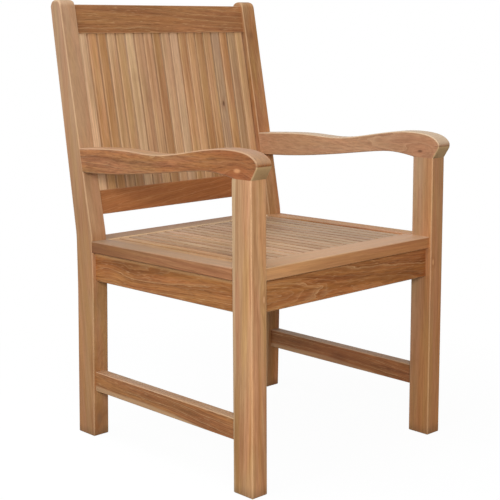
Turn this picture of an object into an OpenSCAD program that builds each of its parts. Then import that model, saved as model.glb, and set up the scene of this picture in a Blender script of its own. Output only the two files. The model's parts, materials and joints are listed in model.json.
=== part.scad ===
// Teak dining armchair: a mortise and tenon frame with a slatted seat, a raked slatted back and
// sawn armrests that roll over the front posts. Millimetres, +Z up, the sitter faces -Y. The
// origin is on the floor, under the middle of the chair's outline. "Left" is the sitter's left.

/* [Overall] */
// Width over the outer faces of the posts
chair_w = 554; // [500:1:620]
// Height of the rear posts
chair_h = 920; // [880:1:980]
// Depth from the noses of the armrests to the tops of the rear posts
chair_d = 620; // [590:1:655]

/* [Posts] */
// Width of every post, seen from the front
post_w = 38.5; // [36:0.5:48]
// Depth of a front post
front_post_d = 52; // [46:0.5:60]
// Height of a front post up to the underside of the armrest
front_post_h = 593; // [575:1:620]
// Depth of a rear post at the seat
rear_post_d = 54.5; // [48:0.5:58]
// Depth of a rear post near its top
rear_post_top_d = 35; // [32:0.5:44]
// How far the rear face leans back from the seat to the top
rake = 72; // [55:1:95]
// How far a rear foot stands behind the seat
splay = 9; // [2:0.5:16]
// Height at which a rear post bends back
bend_h = 432; // [428:1:445]
// Height below which a rear leg splays
splay_h = 320; // [280:1:325]
// Length of the curve at each bend
bend_blend = 28; // [16:1:30]
// Round-over on the front and back corners of a rear post's top
top_round = 15; // [6:0.5:16]
// Round-over on the side corners of a rear post's top
top_round_side = 8; // [3:0.5:12]

/* [Seat] */
// Height of the seat at its front edge
seat_h = 429; // [415:1:440]
// Fall of the seat from the front posts to the rear posts
seat_drop = 5; // [0:0.5:12]
// Thickness of the four boards round the seat
board_t = 24; // [20:0.5:30]
// Front board's setback behind the post faces
board_inset = 6; // [2:0.5:12]
// Width of the front board
front_board_w = 64; // [58:0.5:80]
// Width of each side board
side_board_w = 42.5; // [40:0.5:50]
// Number of slats in the seat
seat_slats = 19; // [17:1:20]
// Width of a seat slat
seat_slat_w = 20.5; // [16:0.5:22]
// Thickness of a seat slat
seat_slat_t = 13; // [12:0.5:16]
// How far the slats lie below the tops of the boards
seat_slat_sink = 2; // [0:0.5:3]
// Open joint between the slats and the rear board
slat_end_gap = 2; // [0.5:0.5:4]

/* [Aprons] */
// Thickness of an apron
apron_t = 24; // [20:0.5:26]
// Height of an apron
apron_h = 61; // [50:1:75]
// Front apron's setback behind the post faces
front_apron_inset = 14.5; // [10:0.5:16]
// Side apron's setback inside the posts' outer faces
side_apron_inset = 9; // [6:0.5:12]
// Rear apron's setback in front of the posts' rear faces
rear_apron_inset = 13; // [8:0.5:14]

/* [Stretchers] */
// Thickness of a side stretcher
stretcher_t = 24; // [18:0.5:28]
// Height of a side stretcher
stretcher_h = 42; // [30:1:50]
// Underside of a stretcher above the floor
stretcher_z = 100.5; // [70:0.5:160]
// Stretcher's setback inside the posts' outer faces
stretcher_inset = 5; // [3:0.5:10]

/* [Back] */
// Thickness of the crest rail and of the lower rail
rail_t = 22; // [20:0.5:24]
// Setback of the rails behind the posts' front faces
rail_inset = 7; // [3:0.5:8]
// Height of the crest rail
crest_h = 61.5; // [45:0.5:80]
// Drop from the top of the posts to the top of the crest rail
crest_drop = 9.5; // [6:0.5:16]
// Height of the lower rail
lower_rail_h = 50.5; // [36:0.5:60]
// Lower rail's height above the bend of the posts
lower_rail_up = 45.5; // [40:0.5:80]
// Number of slats in the back
back_slats = 19; // [16:1:20]
// Width of a back slat
back_slat_w = 20.5; // [16:0.5:22]
// Thickness of a back slat
back_slat_t = 12; // [8:0.5:14]
// Setback of the slats behind the front faces of the rails
back_slat_inset = 2; // [0:0.5:4]

/* [Armrests] */
// Height of the armrest over the front post, at the crest of its roll
arm_crest_up = 52; // [49:0.5:60]
// Crest's distance behind the front post's face
arm_crest_y = 66; // [58:1:80]
// Height of the hollow for the forearm, above the front post
arm_dip_up = 26.5; // [20:0.5:28]
// Hollow's distance behind the front post's face
arm_dip_y = 282; // [260:1:300]
// Height of the low swell behind the hollow
arm_swell_up = 29.2; // [25:0.2:31]
// Swell's distance behind the front post's face
arm_swell_y = 372; // [350:1:385]
// Height of the armrest's top at the rear post
arm_rear_up = 23; // [16:0.5:24]
// Depth of the armrest at the rear post
arm_rear_t = 50; // [42:0.5:52]
// Rise of the arch under the armrest, behind the front post
arm_arch_up = 7; // [4:0.5:12]
// Arch's distance behind the front post's face
arm_arch_y = 120; // [105:1:135]
// Radius of the rolled nose
nose_r = 13.4; // [10:0.1:15]
// Height of the nose's centre above the front post
nose_up = 26; // [23:0.5:28]
// Nose centre's distance in front of the post's face
nose_out = 1; // [0:0.5:4]

/* [Joints] */
// Length of a rail's tenon
tenon_l = 16; // [12:0.5:17]
// Thickness of a tenon
tenon_t = 10; // [8:0.5:12]
// Shoulder above and below a tenon
tenon_shoulder = 8; // [5:0.5:12]
// Height of the tenon on top of a front post
arm_tenon_h = 24; // [18:1:30]
// Clearance on each side of a tenon, a stub or a dowel in its hole
fit_gap = 0.15; // [0.05:0.05:0.3]
// Free space at the bottom of a mortise or a dowel hole
end_gap = 1; // [0.5:0.5:2]
// Length of a slat's stub in its mortise
stub_l = 9; // [6:0.5:12]
// Thickness of a seat slat's stub
stub_t = 6; // [4:0.5:8]
// Diameter of a dowel
dowel_d = 8; // [6:0.5:9]
// Length of a dowel between a seat board and its apron
board_dowel_l = 26; // [20:1:30]
// Length of a dowel between an armrest and its rear post
arm_dowel_l = 40; // [30:1:46]
// Distance between the two dowels of an armrest
arm_dowel_pitch = 22; // [18:1:24]
// Distance between the two dowels in a front or a rear seat board
board_dowel_pitch = 300; // [200:5:380]
// Distance between the two dowels in a side board
side_dowel_pitch = 230; // [150:5:280]

/* [Seat batten] */
// Width of the batten under the seat slats
batten_w = 40; // [30:1:60]
// Height of the batten
batten_h = 24; // [20:0.5:30]
// Length of the batten's tenon in a side apron
batten_tenon_l = 10; // [6:0.5:14]
// Length of a batten screw
screw_l = 32; // [28:0.5:34]
// Diameter of a screw's shank
screw_d = 4; // [3:0.1:5]
// Diameter of a screw's countersunk head
screw_head_d = 8; // [6:0.1:9]
// Height of a screw's countersunk head
screw_head_h = 2.4; // [1.5:0.1:3]

/* [Hidden] */
$fn = 32;

// Outlines: curves with few control points
curve_steps = 12;
arc_steps = 8;
function unit(v) = v / norm(v);
function bend(a, b, c) =
    [for (i = [0:arc_steps]) let (t = i / arc_steps) (1-t)*(1-t)*a + 2*t*(1-t)*b + t*t*c];
function curve(a, b, c, d) =
    [for (i = [0:curve_steps]) let (t = i / curve_steps)
        pow(1-t, 3)*a + 3*t*(1-t)*(1-t)*b + 3*t*t*(1-t)*c + pow(t, 3)*d];
function soft_bend(a, b, c, length) =
    bend(b + unit(a - b) * length/2, b, b + unit(c - b) * length/2);
function arc(centre, r, from, to) =
    [for (i = [0:arc_steps]) let (t = from + (to - from) * i / arc_steps)
        centre + r * [cos(t), sin(t)]];
function corner_arc(a, b, c, r) =
    let (u = unit(a - b), v = unit(c - b), half = acos(u * v) / 2,
         centre = b + unit(u + v) * r / sin(half),
         p = b + u * r / tan(half) - centre, q = b + v * r / tan(half) - centre,
         from = atan2(p[1], p[0]), turn = (atan2(q[1], q[0]) - from + 540) % 360 - 180)
    arc(centre, r, from, from + turn);

// Ranges: a pair of numbers along one axis
function mid(centre, width) = [centre - width/2, centre + width/2];
function grown(range, by) = [range[0] - by, range[1] + by];
function centre(range) = (range[0] + range[1]) / 2;
// Pitch of a row of slats with the same gap between them and at both ends
function even_pitch(space, count, width) = width + (space - count * width) / (count + 1);
cut = 1;

// Main planes of the frame
lean = atan((rake + rear_post_d - rear_post_top_d) / (chair_h - bend_h));
lean_behind = atan(rake / (chair_h - bend_h));
nose_reach = nose_r + nose_out;
top_reach = rake - top_round * (tan(lean_behind) + 1/cos(lean_behind) - 1);
y_front = nose_reach - chair_d / 2;
y_post_back = y_front + front_post_d;
y_back = chair_d / 2 - top_reach;
y_rear_post = y_back - rear_post_d;
x_out = chair_w / 2;
x_in = x_out - post_w;
x_post = centre([x_in, x_out]);
function leaning_face(z) = y_rear_post + (z - bend_h) * tan(lean);

// Seat, drawn level and then tilted about the front edge
tilt = atan(seat_drop / (y_rear_post - y_front));
board_z = [seat_h - board_t, seat_h];
apron_z = [board_z[0] - apron_h, board_z[0]];
apron_tenon_z = grown(apron_z, -tenon_shoulder);
front_apron_y = mid(y_front + front_apron_inset + apron_t/2, apron_t);
rear_apron_y = mid(y_back - rear_apron_inset - apron_t/2, apron_t);
side_apron_x = mid(x_out - side_apron_inset - apron_t/2, apron_t);
board_front = y_front + board_inset;
board_inner = board_front + front_board_w;
side_in = x_out - side_board_w;
slat_top = seat_h - seat_slat_sink;
slat_z = [slat_top - seat_slat_t, slat_top];
stub_z = mid(centre(slat_z), stub_t);
seat_pitch = even_pitch(2 * side_in, seat_slats, seat_slat_w);
batten_z = [slat_z[0] - batten_h, slat_z[0]];
batten_y = mid((board_inner + y_rear_post) / 2, batten_w);
batten_end = side_in - end_gap;
batten_tenon_end = side_apron_x[0] + batten_tenon_l;
screw_y = centre(batten_y);
screw_head_slope = (screw_head_d - screw_d) / screw_head_h;
dowel_in_board = board_dowel_l * 0.42;
side_dowel_y = centre([y_post_back, y_rear_post]);

// Back, drawn upright from the bend and then leaned
function lean_height(z, y) = (z - bend_h + y * sin(lean)) / cos(lean);
rail_y = [rail_inset, rail_inset + rail_t];
crest_top = lean_height(chair_h - crest_drop, rail_inset);
crest_z = [crest_top - crest_h, crest_top];
lower_z = [lower_rail_up, lower_rail_up + lower_rail_h];
back_slat_front = rail_inset + back_slat_inset;
back_slat_y = [back_slat_front, back_slat_front + back_slat_t];
back_stub_y = mid(centre(back_slat_y), stub_t);
back_pitch = even_pitch(2 * x_in, back_slats, back_slat_w);
stub_edge = 2;

// Stretchers
stretcher_x = mid(x_out - stretcher_inset - stretcher_t/2, stretcher_t);
stretcher_zs = [stretcher_z, stretcher_z + stretcher_h];
stretcher_face = y_rear_post + splay * (1 - centre(stretcher_zs) / splay_h);

// Armrests
arm_tenon_edge = 10;
arm_rear_top = front_post_h + arm_rear_up;
arm_rear_low = arm_rear_top - arm_rear_t;
arm_dowel_z = mid(centre([arm_rear_low, arm_rear_top]), arm_dowel_pitch);
// How far the curves run straight on before and after each point of the armrest's outline
roll_ease = 14;
crest_ease = [50, 64];
dip_ease = [67, 30];
swell_ease = [32, 43];
rear_top_ease = [46, -2.8];
rear_low_ease = [177, 2];
arch_ease = [48, 23];
post_ease = [20, 4];
roll_start = 135;
roll_end = 360 - atan2(nose_up, nose_out) - acos(nose_r / norm([nose_out, nose_up]));

function slat_x(i, count, pitch, width) = mid((i - (count - 1) / 2) * pitch, width);
function slat_name(set, i) = str(set, "_slat_", i < 9 ? "0" : "", i + 1);

// Placing
module bar(x, y, z)
    translate([x[0], y[0], z[0]]) cube([x[1] - x[0], y[1] - y[0], z[1] - z[0]]);
module along_x(x) translate([x[0], 0, 0]) rotate([90, 0, 90]) linear_extrude(x[1] - x[0]) children();
module seat_tilt()
    translate([0, y_front, seat_h]) rotate([-tilt, 0, 0]) translate([0, -y_front, -seat_h]) children();
module back_lean() translate([0, y_rear_post, bend_h]) rotate([-lean, 0, 0]) children();
module right_hand() mirror([1, 0, 0]) children();

// Tenons; grown by the clearances they cut their own mortises
module rail_tenon(y, z, gap = 0, deep = 0)
    bar([-x_in - tenon_l - deep, x_in + tenon_l + deep], grown(y, gap), grown(z, gap));
module front_apron_tenon(gap = 0, deep = 0) seat_tilt()
    rail_tenon(mid(centre(front_apron_y), tenon_t), apron_tenon_z, gap, deep);
module rear_apron_tenon(gap = 0, deep = 0) seat_tilt()
    rail_tenon(mid(centre(rear_apron_y), tenon_t), apron_tenon_z, gap, deep);
module crest_tenon(gap = 0, deep = 0) back_lean()
    rail_tenon(mid(centre(rail_y), tenon_t), grown(crest_z, -tenon_shoulder), gap, deep);
module lower_rail_tenon(gap = 0, deep = 0) back_lean()
    rail_tenon(mid(centre(rail_y), tenon_t), grown(lower_z, -tenon_shoulder), gap, deep);
module side_apron_tenon(gap = 0, deep = 0) seat_tilt()
    bar(grown(mid(centre(side_apron_x), tenon_t), gap),
        [y_post_back - tenon_l - deep, y_rear_post + tenon_l + deep], grown(apron_tenon_z, gap));
module stretcher_tenon(gap = 0, deep = 0)
    bar(grown(mid(centre(stretcher_x), tenon_t), gap),
        [y_post_back - tenon_l - deep, stretcher_face + tenon_l + deep],
        grown(grown(stretcher_zs, -tenon_shoulder), gap));
module arm_tenon(gap = 0, deep = 0)
    bar(grown([x_in, x_out], gap - arm_tenon_edge),
        grown([y_front, y_post_back], gap - arm_tenon_edge),
        [front_post_h - cut, front_post_h + arm_tenon_h + deep]);
module batten_mortise() seat_tilt()
    bar(mid(0, 2 * (batten_tenon_end + end_gap)),
        grown(batten_y, fit_gap), [batten_z[0] - fit_gap, board_z[0] + cut]);

// Dowels, with the same two clearances
module arm_dowels(gap = 0, deep = 0)
    for (z = arm_dowel_z)
        translate([x_post, leaning_face(z) - arm_dowel_l/2 - deep, z])
            rotate([-90, 0, 0]) cylinder(h = arm_dowel_l + 2*deep, d = dowel_d + 2*gap);
module board_dowel(x, y, gap, deep)
    translate([x, y, board_z[0] + dowel_in_board - board_dowel_l - deep])
        cylinder(h = board_dowel_l + 2*deep, d = dowel_d + 2*gap);
module board_dowels(gap = 0, deep = 0) seat_tilt() {
    for (x = mid(0, board_dowel_pitch), y = [centre(front_apron_y), centre(rear_apron_y)])
        board_dowel(x, y, gap, deep);
    for (side = [-1, 1], y = mid(side_dowel_y, side_dowel_pitch))
        board_dowel(side * centre(side_apron_x), y, gap, deep);
}

// Posts
module front_post() color("#C08F62") difference() {
    union() {
        bar([x_in, x_out], [y_front, y_post_back], [0, front_post_h]);
        arm_tenon();
    }
    front_apron_tenon(fit_gap, end_gap);
    side_apron_tenon(fit_gap, end_gap);
    stretcher_tenon(fit_gap, end_gap);
}
module rear_post_outline() {
    front = [[y_rear_post + splay, 0], [y_rear_post, splay_h], [y_rear_post, bend_h],
             [y_back + rake - rear_post_top_d, chair_h]];
    back = [[y_back + splay, 0], [y_back, splay_h], [y_back, bend_h], [y_back + rake, chair_h]];
    polygon(concat(
        [front[0]],
        soft_bend(front[0], front[1], front[2], bend_blend),
        soft_bend(front[1], front[2], front[3], bend_blend),
        corner_arc(front[2], front[3], back[3], top_round),
        corner_arc(front[3], back[3], back[2], top_round),
        soft_bend(back[3], back[2], back[1], bend_blend),
        soft_bend(back[2], back[1], back[0], bend_blend),
        [back[0]]));
}
module rear_post_front_view()
    polygon(concat(
        [[x_in, 0], [x_out, 0]],
        corner_arc([x_out, 0], [x_out, chair_h], [x_in, chair_h], top_round_side),
        corner_arc([x_out, chair_h], [x_in, chair_h], [x_in, 0], top_round_side)));
module rear_post() color("#BE8C60") difference() {
    intersection() {
        along_x([x_in, x_out]) rear_post_outline();
        translate([0, chair_d, 0])
            rotate([90, 0, 0]) linear_extrude(2 * chair_d) rear_post_front_view();
    }
    crest_tenon(fit_gap, end_gap);
    lower_rail_tenon(fit_gap, end_gap);
    rear_apron_tenon(fit_gap, end_gap);
    side_apron_tenon(fit_gap, end_gap);
    stretcher_tenon(fit_gap, end_gap);
    arm_dowels(fit_gap, end_gap);
}

// Armrests: a sawn side profile as wide as the posts
function arm_point(y, up) = [y_front + y, front_post_h + up];
module armrest_outline() {
    nose = arm_point(-nose_out, nose_up);
    roll = nose + nose_r * [cos(roll_start), sin(roll_start)];
    roll_on = roll + roll_ease * [sin(roll_start), -cos(roll_start)];
    crest = arm_point(arm_crest_y, arm_crest_up);
    dip = arm_point(arm_dip_y, arm_dip_up);
    swell = arm_point(arm_swell_y, arm_swell_up);
    rear_top = [leaning_face(arm_rear_top), arm_rear_top];
    rear_low = [leaning_face(arm_rear_low), arm_rear_low];
    arch = arm_point(arm_arch_y, arm_arch_up);
    post_back = arm_point(front_post_d, 0);
    polygon(concat(
        [arm_point(0, 0)],
        arc(nose, nose_r, roll_end, roll_start),
        curve(roll, roll_on, crest - [crest_ease[0], 0], crest),
        curve(crest, crest + [crest_ease[1], 0], dip - [dip_ease[0], 0], dip),
        curve(dip, dip + [dip_ease[1], 0], swell - [swell_ease[0], 0], swell),
        curve(swell, swell + [swell_ease[1], 0], rear_top - rear_top_ease, rear_top),
        curve(rear_low, rear_low + [-rear_low_ease[0], rear_low_ease[1]], arch + [arch_ease[0], 0], arch),
        curve(arch, arch - [arch_ease[1], 0], post_back + post_ease, post_back)));
}
module armrest() color("#B27B49") difference() {
    along_x([x_in, x_out]) armrest_outline();
    arm_tenon(fit_gap, end_gap);
    arm_dowels(fit_gap, end_gap);
}

// Stubs on a slat's ends, and the mortises they sit in
module seat_stub(i, y, gap = 0)
    bar(grown(slat_x(i, seat_slats, seat_pitch, seat_slat_w), gap - stub_edge), y, grown(stub_z, gap));
module seat_stub_mortises(y) seat_tilt()
    for (i = [0:seat_slats-1]) seat_stub(i, y, fit_gap);
module back_stub_mortises(z) back_lean()
    for (i = [0:back_slats-1])
        bar(grown(slat_x(i, back_slats, back_pitch, back_slat_w), fit_gap - stub_edge),
            grown(back_stub_y, fit_gap), z);

// Back
module crest_rail() color("#9C6238") difference() {
    union() {
        back_lean() bar([-x_in, x_in], rail_y, crest_z);
        crest_tenon();
    }
    back_stub_mortises([crest_z[0] - cut, crest_z[0] + stub_l + end_gap]);
}
module lower_back_rail() color("#9A6138") difference() {
    union() {
        back_lean() bar([-x_in, x_in], rail_y, lower_z);
        lower_rail_tenon();
    }
    back_stub_mortises([lower_z[1] - stub_l - end_gap, lower_z[1] + cut]);
}
module back_slat(i) color(i % 3 == 1 ? "#C1936A" : "#B9875A") back_lean() {
    x = slat_x(i, back_slats, back_pitch, back_slat_w);
    bar(x, back_slat_y, [lower_z[1], crest_z[0]]);
    bar(grown(x, -stub_edge), back_stub_y, [lower_z[1] - stub_l, crest_z[0] + stub_l]);
}

// Seat frame
module front_apron() color("#A66D3E") difference() {
    union() {
        seat_tilt() bar([-x_in, x_in], front_apron_y, apron_z);
        front_apron_tenon();
    }
    board_dowels(fit_gap, end_gap);
}
module rear_apron() color("#A87042") difference() {
    union() {
        seat_tilt() bar([-x_in, x_in], rear_apron_y, apron_z);
        rear_apron_tenon();
    }
    board_dowels(fit_gap, end_gap);
}
module between_posts() intersection() {
    seat_tilt() children();
    bar([-x_out, x_out], [y_post_back, y_rear_post], [0, chair_h]);
}
module side_apron() color("#A97244") difference() {
    union() {
        between_posts() bar(side_apron_x, [y_front, y_back], apron_z);
        side_apron_tenon();
    }
    board_dowels(fit_gap, end_gap);
    batten_mortise();
}
module seat_front_board() color("#B98556") difference() {
    seat_tilt() {
        bar([-x_in, x_in], [board_front, y_post_back], board_z);
        bar([-side_in, side_in], [y_post_back - cut, board_inner], board_z);
    }
    seat_stub_mortises([board_inner - stub_l - end_gap, board_inner + cut]);
    board_dowels(fit_gap, end_gap);
}
module seat_rear_board() color("#A5825C") difference() {
    intersection() {
        seat_tilt() bar([-x_in, x_in], [y_rear_post - front_post_d, y_back + front_post_d], board_z);
        bar([-x_in, x_in], [y_rear_post, y_back], [0, chair_h]);
    }
    seat_stub_mortises([y_rear_post - cut, y_rear_post + stub_l + end_gap]);
    board_dowels(fit_gap, end_gap);
}
module seat_side_board() color("#B27C50") difference() {
    between_posts() bar([side_in, x_out], [y_front, y_back], board_z);
    board_dowels(fit_gap, end_gap);
}
module seat_slat(i) color(i % 4 == 1 ? "#C49468" : "#B58760") difference() {
    seat_tilt() {
        bar(slat_x(i, seat_slats, seat_pitch, seat_slat_w), [board_inner, y_rear_post - slat_end_gap], slat_z);
        seat_stub(i, [board_inner - stub_l, y_rear_post + stub_l - slat_end_gap]);
    }
    batten_screw(i, fit_gap, end_gap);
}

// Batten under the seat slats, one screw to each slat
module batten_screw(i, gap = 0, deep = 0, below = 0) seat_tilt()
    translate([centre(slat_x(i, seat_slats, seat_pitch, seat_slat_w)), screw_y, batten_z[0] - below]) {
        cylinder(h = below + screw_l + deep, d = screw_d + 2*gap);
        cylinder(h = below + screw_head_h,
                 d1 = screw_head_d + 2*gap + below * screw_head_slope, d2 = screw_d + 2*gap);
    }
module seat_batten_front_view()
    polygon([[-batten_tenon_end, batten_z[0]], [batten_tenon_end, batten_z[0]],
             [batten_tenon_end, board_z[0]], [batten_end, board_z[0]],
             [batten_end, batten_z[1]], [-batten_end, batten_z[1]],
             [-batten_end, board_z[0]], [-batten_tenon_end, board_z[0]]]);
module seat_batten() color("#A87446") difference() {
    seat_tilt() translate([0, batten_y[1], 0])
        rotate([90, 0, 0]) linear_extrude(batten_w) seat_batten_front_view();
    for (i = [0:seat_slats-1]) batten_screw(i, fit_gap, below = cut);
}
module batten_screws() color("#B9B4A8") for (i = [0:seat_slats-1]) batten_screw(i);
module seat_board_dowels() color("#C9A77C") board_dowels();
module armrest_dowels() color("#C9A77C") {
    arm_dowels();
    right_hand() arm_dowels();
}

// Stretchers, scribed to the splayed rear legs
module side_stretcher() color("#A97347") {
    difference() {
        bar(stretcher_x, [y_post_back, y_rear_post + splay], stretcher_zs);
        along_x(grown(stretcher_x, cut)) rear_post_outline();
    }
    stretcher_tenon();
}

front_post();  // front_post_left
right_hand() front_post();  // front_post_right
rear_post();  // rear_post_left
right_hand() rear_post();  // rear_post_right
armrest();  // armrest_left
right_hand() armrest();  // armrest_right
crest_rail();
lower_back_rail();
front_apron();
rear_apron();
side_apron();  // side_apron_left
right_hand() side_apron();  // side_apron_right
seat_front_board();
seat_rear_board();
seat_side_board();  // seat_side_board_left
right_hand() seat_side_board();  // seat_side_board_right
side_stretcher();  // side_stretcher_left
right_hand() side_stretcher();  // side_stretcher_right
seat_batten();
batten_screws();
seat_board_dowels();
armrest_dowels();
for (i = [0:back_slats-1]) back_slat(i);
for (i = [0:seat_slats-1]) seat_slat(i);
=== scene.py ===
# %% [markdown]
# Teak dining armchair, dressed for the camera.
# The joinery of the chair is already there as a fixed frame of solids: posts, rails, boards and slats with
# their tenons and mortises. This lesson gives each board its eased edges, its own cut from the log and its
# colour, and then sets up the light and the camera. Every length is in metres.

# %% Load the frame
import json
import math

import bmesh
import bpy
import numpy as np
from mathutils import Matrix, Vector
from mathutils.bvhtree import BVHTree


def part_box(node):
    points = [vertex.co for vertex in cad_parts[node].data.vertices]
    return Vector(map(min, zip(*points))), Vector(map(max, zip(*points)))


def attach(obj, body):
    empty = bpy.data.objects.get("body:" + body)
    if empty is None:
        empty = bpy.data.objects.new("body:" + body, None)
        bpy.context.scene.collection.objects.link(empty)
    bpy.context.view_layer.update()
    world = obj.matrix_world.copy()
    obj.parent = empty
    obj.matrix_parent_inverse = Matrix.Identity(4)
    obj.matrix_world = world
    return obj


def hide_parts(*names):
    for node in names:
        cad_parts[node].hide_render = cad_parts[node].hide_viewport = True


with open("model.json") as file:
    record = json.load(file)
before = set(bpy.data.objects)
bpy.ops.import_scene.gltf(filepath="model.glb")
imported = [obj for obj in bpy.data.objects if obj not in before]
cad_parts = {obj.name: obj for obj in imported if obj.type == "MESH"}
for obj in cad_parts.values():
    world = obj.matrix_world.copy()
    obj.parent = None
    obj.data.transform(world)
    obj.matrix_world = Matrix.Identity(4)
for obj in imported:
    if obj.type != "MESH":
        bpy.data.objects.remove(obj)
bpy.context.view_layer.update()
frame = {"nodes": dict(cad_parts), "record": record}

MM = 0.001

# %% [markdown]
# The camera comes first, because every later choice is judged through it. The chair is seen from the front
# and from the sitter's right, a little above the seat. The lens is long, so the far legs look nearly as big
# as the near ones. A small shift raises the frame without tilting the camera, which keeps the posts upright.

# %% Camera
IMAGE_WIDTH = 500
FOCAL_LENGTH_IN_PIXELS = 1208.2
SENSOR_WIDTH = 36
CAMERA_AZIMUTH = math.radians(-43.43)
CAMERA_ELEVATION = math.radians(9.27)
CAMERA_ROLL = math.radians(-0.28)
CAMERA_DISTANCE = 2.5275
CAMERA_AIM = Vector((-0.0207, -0.0216, 0.4531))
CAMERA_SHIFT = -0.05


def new_object(name, data):
    """An object for this data in the scene."""
    made = bpy.data.objects.new(name, data)
    bpy.context.scene.collection.objects.link(made)
    return made


def camera_axes(azimuth, elevation, roll):
    """Right, up and back of a camera that stands at this azimuth and elevation and is turned by roll."""
    back = Vector((math.sin(azimuth) * math.cos(elevation),
                   -math.cos(azimuth) * math.cos(elevation),
                   math.sin(elevation)))
    right = Vector((math.cos(azimuth), math.sin(azimuth), 0))
    up = back.cross(right)
    return (math.cos(roll) * right + math.sin(roll) * up,
            math.cos(roll) * up - math.sin(roll) * right,
            back)


def make_camera():
    """A camera that looks at the aim from the given side."""
    data = bpy.data.cameras.new("camera")
    data.sensor_width = SENSOR_WIDTH
    data.lens = FOCAL_LENGTH_IN_PIXELS * SENSOR_WIDTH / IMAGE_WIDTH
    data.shift_y = CAMERA_SHIFT
    camera = new_object("camera", data)
    right, up, back = camera_axes(CAMERA_AZIMUTH, CAMERA_ELEVATION, CAMERA_ROLL)
    turn = Matrix((right, up, back)).transposed().to_4x4()
    camera.matrix_world = Matrix.Translation(CAMERA_AIM + CAMERA_DISTANCE * back) @ turn
    bpy.context.scene.camera = camera
    return camera


camera = make_camera()
print("Camera at", tuple(round(c, 3) for c in camera.matrix_world.translation),
      "with a lens of", round(camera.data.lens, 1), "mm")

# %% [markdown]
# Materials and Geometry Nodes are both graphs of nodes. Wiring them by hand in Python is long and hard to
# read, so two small classes do it. A Wire is a number that travels along a link, and plain maths on it adds
# Math nodes, also where the plain number comes first, as in 1 - mask.

# %% Wires
class Wire:
    """One output socket, on which Python's operators add Math nodes."""

    def __init__(self, graph, socket):
        self.graph = graph
        self.socket = socket

    def math(self, operation, *values):
        """A Math node of this operation on the wire and other values."""
        return self.graph.math(operation, self, *values)

    def __add__(self, other):
        return self.math("ADD", other)

    def __sub__(self, other):
        return self.math("SUBTRACT", other)

    def __rsub__(self, other):
        return self.graph.math("SUBTRACT", other, self)

    def __mul__(self, other):
        return self.math("MULTIPLY", other)

    def __truediv__(self, other):
        return self.math("DIVIDE", other)

    def __pow__(self, other):
        return self.math("POWER", other)

    __radd__ = __add__
    __rmul__ = __mul__


print("A wire adds Math nodes for +, -, *, / and **")

# %% [markdown]
# A Graph adds any other node from its type, its settings and its sockets. Colours and vectors have nodes of
# their own, because a Math node would turn a colour grey. Colours are picked in the usual six digits, and
# srgb makes them linear, as Blender wants them.

# %% Graphs
class Graph:
    """A node tree that is built from Python."""

    def __init__(self, tree):
        self.tree = tree

    def node(self, kind, settings=None, sockets=None):
        """Adds a node: first its settings, then the values or wires of its sockets, by name or by number."""
        node = self.tree.nodes.new(kind)
        for name, value in (settings or {}).items():
            setattr(node, name, value)
        for key, value in (sockets or {}).items():
            socket = node.inputs[key] if isinstance(key, int) else self.socket(node.inputs, key)
            if isinstance(value, (Wire, list)):
                for wire in value if isinstance(value, list) else [value]:
                    self.tree.links.new(wire.socket, socket)
            else:
                socket.default_value = value
        return node

    @staticmethod
    def socket(sockets, name):
        """The socket of this name that is in use, because many nodes keep unused ones of the same name."""
        return next(s for s in sockets if s.name == name and s.enabled)

    def wire(self, kind, settings=None, sockets=None, output=None):
        """Adds a node and returns one of its outputs, the first in use unless it is named."""
        node = self.node(kind, settings, sockets)
        if output is None:
            return Wire(self, next(s for s in node.outputs if s.enabled))
        return Wire(self, self.socket(node.outputs, output))

    def math(self, operation, *values):
        """A Math node."""
        return self.wire("ShaderNodeMath", {"operation": operation}, dict(enumerate(values)))

    def vector(self, operation, *values, **named):
        """A Vector Math node."""
        sockets = {**dict(enumerate(values)), **named}
        return self.wire("ShaderNodeVectorMath", {"operation": operation}, sockets)

    def parts(self, vector):
        """The three numbers of a vector."""
        return [Wire(self, s) for s in self.node("ShaderNodeSeparateXYZ", None, {"Vector": vector}).outputs]

    def mix(self, factor, a, b, blend="MIX"):
        """A Mix node for colours."""
        settings = {"data_type": "RGBA", "blend_type": blend}
        return self.wire("ShaderNodeMix", settings, {"Factor": factor, "A": a, "B": b}, "Result")

    def tint(self, amount, colour, factors):
        """Multiplies the red, green and blue of a colour by the factors, as far as the amount says."""
        return self.mix(amount, colour, (*factors, 1), "MULTIPLY")

    def step(self, value, low, high):
        """A soft step from 0 at low to 1 at high."""
        sockets = {"Value": value, "From Min": low, "From Max": high}
        return self.wire("ShaderNodeMapRange", {"interpolation_type": "SMOOTHSTEP"}, sockets, "Result")


def srgb(code):
    """A linear colour from the usual six hexadecimal digits."""
    values = [int(code[i:i + 2], 16) / 255 for i in (1, 3, 5)]
    linear = [v / 12.92 if v <= 0.04045 else ((v + 0.055) / 1.055) ** 2.4 for v in values]
    return (*linear, 1.0)


print("A plain mid brown is", [round(v, 3) for v in srgb("#A07040")])

# %% [markdown]
# Teak is a solid pattern, not a picture stuck on a surface: growth rings lie round the heart of the tree, and
# fibres and pores run along it. A board shows whatever its faces cut out of that pattern: straight lines,
# tall arches, or arcs on its end. So the material works in the log's own coordinates, with the log's axis
# along Z. Every board carries them as an attribute, and its tone, its knot and its traits too, so that one
# recipe serves all the boards.

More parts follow.
